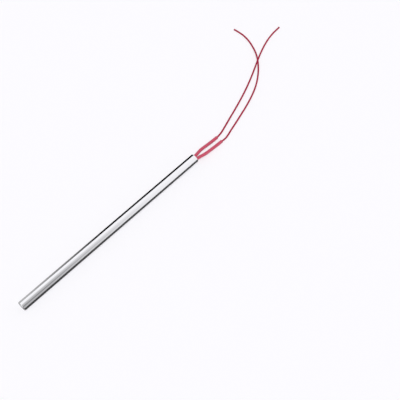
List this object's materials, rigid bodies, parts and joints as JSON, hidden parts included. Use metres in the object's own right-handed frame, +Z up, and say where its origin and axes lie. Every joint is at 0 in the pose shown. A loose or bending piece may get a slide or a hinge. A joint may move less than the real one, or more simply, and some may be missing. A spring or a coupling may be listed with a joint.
{
  "type": "cartridge heater",
  "caption": "Slim round cartridge heater: polished steel sheath, closed at one end, with thin red insulated leads and short sleeves at the other, pushed into a bore to heat tooling.",
  "frame": {"origin": "centre of the sheath's mouth, on the sheath's axis", "axes": "+X along the axis, out of the mouth the way the leads go; -X towards the closed end, which goes into a bore first; +Z up from the surface that the heater lies on"},
  "size_m": [0.4162, 0.0975, 0.01],
  "materials": {
    "sheath_steel": "ground and polished stainless steel",
    "plug_steel": "welded and ground stainless steel",
    "ceramic": "fired ceramic",
    "magnesia": "pressed magnesia",
    "resistance_wire": "drawn nickel-chromium wire",
    "nickel": "drawn nickel",
    "cement": "troweled ceramic cement",
    "crimp_metal": "tinned barrel",
    "conductor": "stranded tinned copper",
    "sleeve_red": "coated woven glass sleeve",
    "lead_red": "coated braided insulation"
  },
  "bodies": {
    "root": {"sheath": "sheath_steel", "end_plug": "plug_steel", "end_wafer": "ceramic", "core_1": "magnesia", "core_2": "magnesia", "core_3": "magnesia", "core_4": "magnesia", "core_5": "magnesia", "core_6": "magnesia", "core_7": "magnesia", "core_8": "magnesia", "heating_coil": "resistance_wire", "magnesia_fill": "magnesia", "long_pin": "nickel", "short_pin": "nickel", "lead_bushing": "ceramic", "end_seal": "cement", "crimp_1": "crimp_metal", "crimp_2": "crimp_metal", "conductor_1": "conductor", "conductor_2": "conductor", "sleeve_1": "sleeve_red", "sleeve_2": "sleeve_red", "lead_1": "lead_red", "lead_2": "lead_red"}
  },
  "joints": []
}
